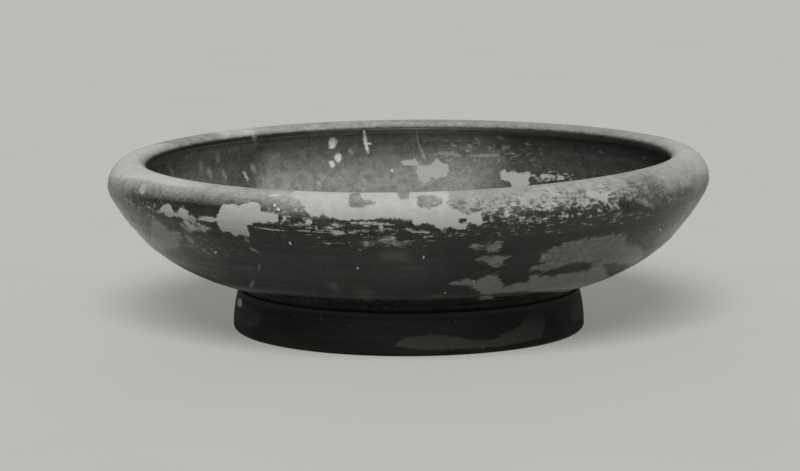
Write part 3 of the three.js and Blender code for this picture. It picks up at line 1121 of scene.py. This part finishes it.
def make_foot_glaze(streaks, ragged):
    material, bench, shader = new_material("foot_black_glaze", FOOT_SHINE)
    place = bench.millimetres()
    streak = bench.group(streaks, round=0.06, across=1.2)
    blotch = bench.noise(place, 0.12, 4.0, 0.6)
    dots = bench.noise(place, 1.3, 2.0, 0.55)
    grain = bench.noise(place, 3.0, 2.0)
    bare = bench.group(ragged, inside=bench.field("flake"), noise=dots, raggedness=0.5, softness=0.1)
    bare = bench.math("MAXIMUM", bare, bench.step(dots, 0.735, 0.79, 0.0, 0.7))
    thinned = bench.group(ragged, inside=bench.field("thin"), noise=dots, raggedness=0.8, softness=0.25)
    level = bench.split(place)[2]
    # Painted light: the glaze is made paler towards the top of the foot, where the bowl's overhang shades
    # it
    painted_light_under_bowl = bench.ramp(level, 5.0, 9.0, 0.0, 0.6)
    dull = bench.math("ADD", bench.ramp(streak, 0.35, 0.7, 0.0, 0.25), painted_light_under_bowl, clamp=True)
    colour = bench.mix(thinned, bench.mix(dull, BLACK_GLAZE, DULL_GLAZE), FOOT_GREY)
    # Painted light: paler still at the foot's top edge, in the shade of the seam
    colour = bench.mix(bench.ramp(level, 8.3, 10.2, 0.0, 0.32), colour, GREY_GLAZE)
    colour = bench.mix(bare, colour, PALE_CLAY)
    roughness = bench.blend(bare, bench.ramp(blotch, *NOISE_REACH, 0.55, 0.7), BARE_ROUGHNESS)
    finish_surface(bench, shader, colour, roughness, relief(bench, (streak, 0.05), (grain, 0.012)))
    return material


def make_slip_clay(streaks):
    material, bench, shader = new_material("seam_slip", SLIP_SHINE)
    streak = bench.group(streaks, round=0.2, across=2.0)
    grain = bench.noise(bench.millimetres(), 0.8, 3.0)
    colour = bench.mix(bench.ramp(grain, 0.4, 0.8), BLACK_GLAZE, DULL_GLAZE)
    roughness = bench.ramp(streak, *NOISE_REACH, 0.5, 0.8)
    finish_surface(bench, shader, colour, roughness, relief(bench, (grain, 0.05)))
    return material


def dress(piece, node, material):
    piece.data.materials.append(material)
    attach(piece, "root")
    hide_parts(node)


# Studio: the colours of the paper, its shine and roughness, half its side in metres, and the room's light
PALE_PAPER = (0.57, 0.575, 0.545, 1.0)
DULL_PAPER = (0.55, 0.555, 0.525, 1.0)
PAPER_SHINE = 0.1
PAPER_ROUGHNESS = 0.95
FLOOR_HALF_SIDE = 4.0
ROOM_LIGHT = (0.14, 0.14, 0.14, 1.0)

# Compass angle, height and width of each light in degrees, and its power
FRONT_LIGHT = (-3.0, 40.0, 28.0, 3.45)
BACK_LIGHT = (180.0, 28.0, 40.0, 0.3)

# The pale tone that the camera and reflections see on the paper, and its share
PAPER_TONE = (0.503, 0.509, 0.479, 1.0)
PAPER_GLOW = 0.40


def make_floor():
    shape = bmesh.new()
    bmesh.ops.create_grid(shape, x_segments=4, y_segments=4, size=FLOOR_HALF_SIDE)
    floor = finished("studio_floor", shape)
    material, bench, shader = new_material("pale_paper", PAPER_SHINE)
    shader.inputs["Roughness"].default_value = PAPER_ROUGHNESS
    mottle = bench.ramp(bench.noise(bench.millimetres(), 0.02, 3.0), *NOISE_REACH)
    bench.put(shader.inputs["Base Color"], bench.mix(mottle, PALE_PAPER, DULL_PAPER))
    path = bench.node("ShaderNodeLightPath")
    seen = bench.math("MAXIMUM", path["Is Camera Ray"], path["Is Glossy Ray"])
    seen = bench.math("MAXIMUM", seen, path["Is Transmission Ray"])
    tone = bench.node("ShaderNodeEmission", PAPER_TONE)[0]
    share = bench.math("MULTIPLY", seen, PAPER_GLOW)
    lift = bench.node("ShaderNodeMixShader", share, shader.outputs[0], tone)[0]
    bench.put(bench.tree.nodes["Material Output"].inputs["Surface"], lift)
    floor.data.materials.append(material)


def make_lamp(name, compass, height, width, power):
    lamp = bpy.data.lights.new(name, "SUN")
    lamp.angle = math.radians(width)
    lamp.energy = power
    holder = bpy.data.objects.new(name, lamp)
    toward = Vector((sine(compass) * cosine(height), -cosine(compass) * cosine(height), sine(height)))
    holder.location = toward
    holder.rotation_euler = (-toward).to_track_quat("-Z", "Y").to_euler()
    bpy.context.scene.collection.objects.link(holder)


def make_room():
    world = bpy.data.worlds.new("pale_room")
    world.use_nodes = True
    world.node_tree.nodes["Background"].inputs["Color"].default_value = ROOM_LIGHT
    bpy.context.scene.world = world
    make_lamp("front_light", *FRONT_LIGHT)
    make_lamp("back_light", *BACK_LIGHT)


# The camera of the photograph, in millimetres and pixels
EYE = Vector((0.0, -790.8, 138.8))
AIM = Vector((-2.0, 0.0, 21.3))
ROLL = -0.0037
FOCAL_PIXELS = 3421.6
IMAGE_WIDTH = 800
SENSOR_WIDTH = 36.0


def make_camera():
    forward = (AIM - EYE).normalized()
    right = forward.cross(Vector((0.0, 0.0, 1.0))).normalized()
    up = right.cross(forward)
    turned_right = right * math.cos(ROLL) + up * math.sin(ROLL)
    turned_up = up * math.cos(ROLL) - right * math.sin(ROLL)
    camera = bpy.data.cameras.new("print_camera")
    camera.sensor_fit = "HORIZONTAL"
    camera.sensor_width = SENSOR_WIDTH
    camera.lens = SENSOR_WIDTH * FOCAL_PIXELS / IMAGE_WIDTH
    holder = bpy.data.objects.new("print_camera", camera)
    rotation = Matrix((turned_right, turned_up, -forward)).transposed().to_4x4()
    holder.matrix_world = Matrix.Translation(EYE * MM) @ rotation
    bpy.context.scene.collection.objects.link(holder)
    bpy.context.scene.camera = holder


def main():
    bowl = make_bowl()
    foot = make_foot()
    slip = make_slip()
    add_bowl_wear(bowl)
    add_foot_wear(foot)
    marks = {"marks": MARKS, "slivers": SLIVERS, "scuffs": SCUFFS}
    mark_fields = {kind: add_marks(bowl, kind, table) for kind, table in marks.items()}

    streaks = streak_group()
    ragged = ragged_group()
    dress(bowl, "bowl_body", make_bowl_glaze(streaks, ragged, broken_group(), mark_fields))
    dress(foot, "ring_foot", make_foot_glaze(streaks, ragged))
    dress(slip, "luting_slip", make_slip_clay(streaks))

    make_floor()
    make_room()
    make_camera()
    bpy.context.scene.view_settings.view_transform = "Standard"


main()
